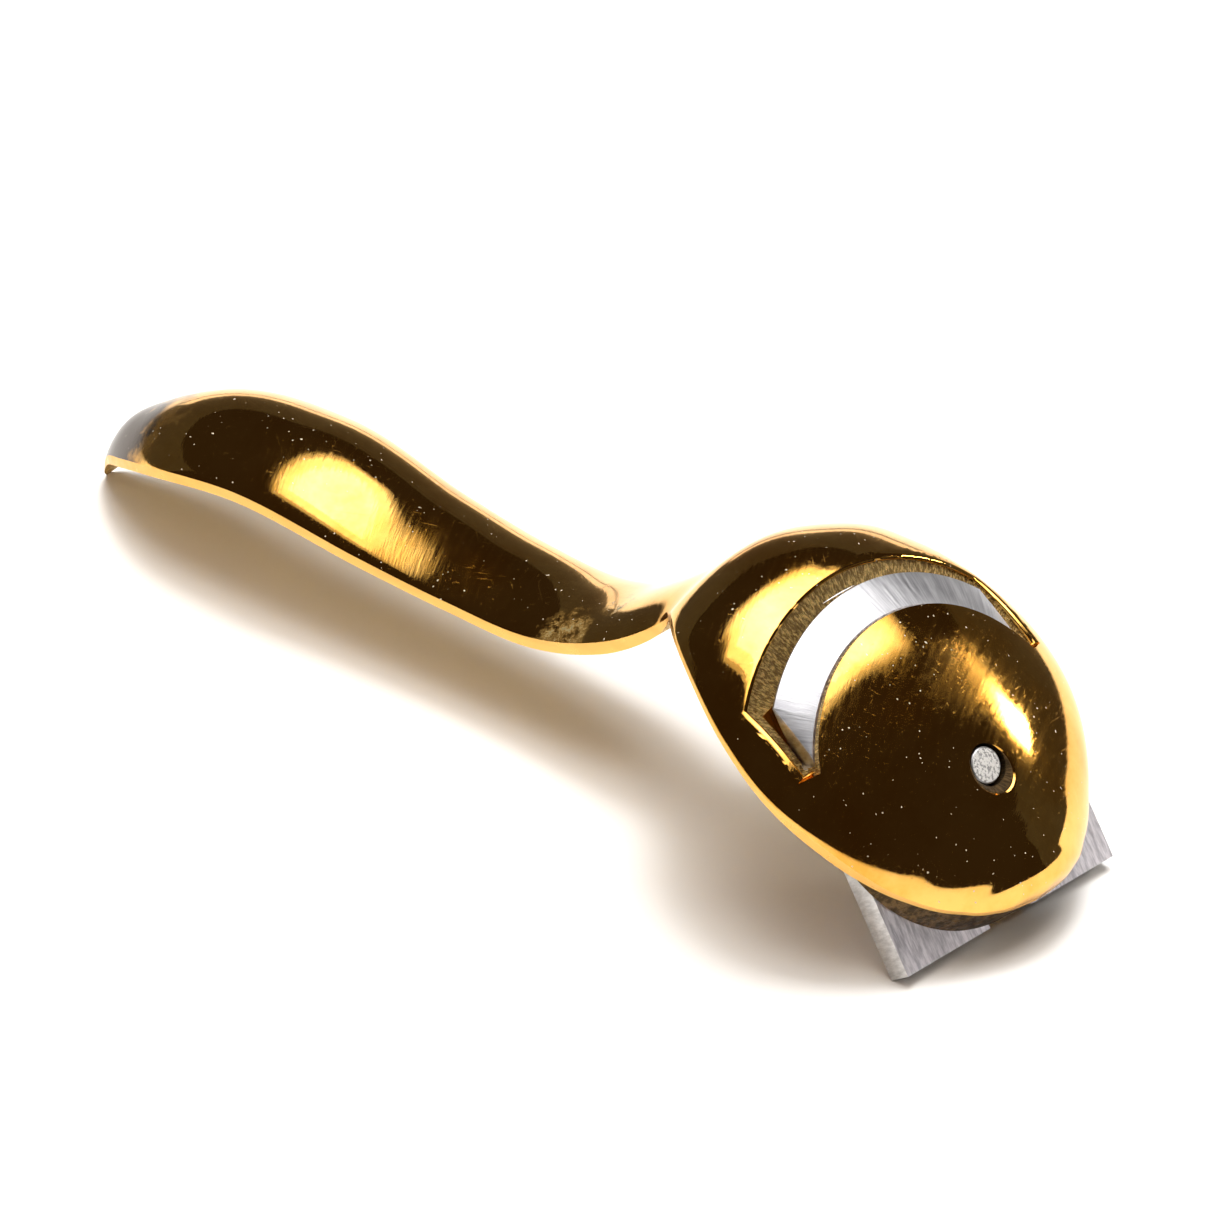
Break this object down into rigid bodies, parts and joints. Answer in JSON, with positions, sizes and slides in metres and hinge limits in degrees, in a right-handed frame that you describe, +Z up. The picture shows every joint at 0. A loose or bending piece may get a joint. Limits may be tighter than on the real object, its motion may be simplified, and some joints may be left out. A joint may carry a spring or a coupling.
{
  "type": "hand dough cutter",
  "caption": "Cast brass hand tool with a crowned handle and an egg-shaped hood that carries a flat steel cutter plate on a sprung guide pin.",
  "frame": {"origin": "on the resting surface, under the middle of the bounding box", "axes": "+X along the tool towards the cutting edge, +Y across it, +Z up"},
  "size_m": [0.1928, 0.0604, 0.0477],
  "materials": {
    "brass_casting": "polished by hand",
    "cutter_steel": "ground",
    "pin_steel": "rough sawn end",
    "bush_bronze": "turned",
    "ring_steel": "oiled spring steel",
    "spring_steel": "drawn wire",
    "fastener_steel": "zinc plated",
    "dowel_steel": "ground"
  },
  "bodies": {
    "casting": {"body_casting": "brass_casting", "guide_bush": "bush_bronze", "locating_dowel_left": "dowel_steel", "locating_dowel_right": "dowel_steel"},
    "cutter": {"cutter_plate": "cutter_steel", "guide_pin": "pin_steel", "retaining_ring": "ring_steel", "return_spring": "spring_steel", "plate_washer": "fastener_steel", "lock_nut": "fastener_steel"}
  },
  "joints": [
    {"name": "cutter_press", "type": "slide", "parent": "casting", "child": "cutter", "axis": [-0.8387, 0, -0.5446], "range_m": [0, 0.002], "stiffness_N_per_m": 1500, "springref_m": -0.002, "deforming": ["return_spring"]}
  ]
}
